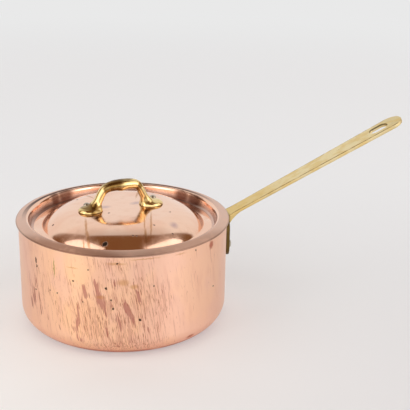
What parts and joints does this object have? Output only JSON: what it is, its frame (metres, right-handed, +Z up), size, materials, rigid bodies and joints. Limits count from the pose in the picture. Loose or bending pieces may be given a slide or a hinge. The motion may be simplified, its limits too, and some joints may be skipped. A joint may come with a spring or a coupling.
{
  "type": "copper saucepan with lid",
  "caption": "Round straight-sided copper saucepan with a long flat brass handle and a stepped, domed lid that has a brass loop handle.",
  "frame": {"origin": "centre of the flat base, on the surface that the pan stands on", "axes": "+Z up along the pan's axis, +X towards the end of the long handle"},
  "size_m": [0.3244, 0.1674, 0.1489],
  "materials": {
    "copper": "polished copper sheet, hazed and streaked with tarnish",
    "lining": "satin pale metal lining",
    "brass": "satin cast brass, worn on the edges"
  },
  "bodies": {
    "pan": {"pan_shell": "copper", "pan_lining": "lining", "pan_handle": "brass", "pan_handle_rivet_1": "brass", "pan_handle_rivet_2": "brass", "pan_handle_rivet_3": "brass"},
    "lid": {"lid_shell": "copper", "lid_lining": "lining", "lid_handle": "brass", "lid_handle_rivet_1": "brass", "lid_handle_rivet_2": "brass"}
  },
  "joints": [
    {"name": "lid_lift", "type": "slide", "parent": "pan", "child": "lid", "axis": [0, 0, 1], "range_m": [0, 0.08]}
  ]
}
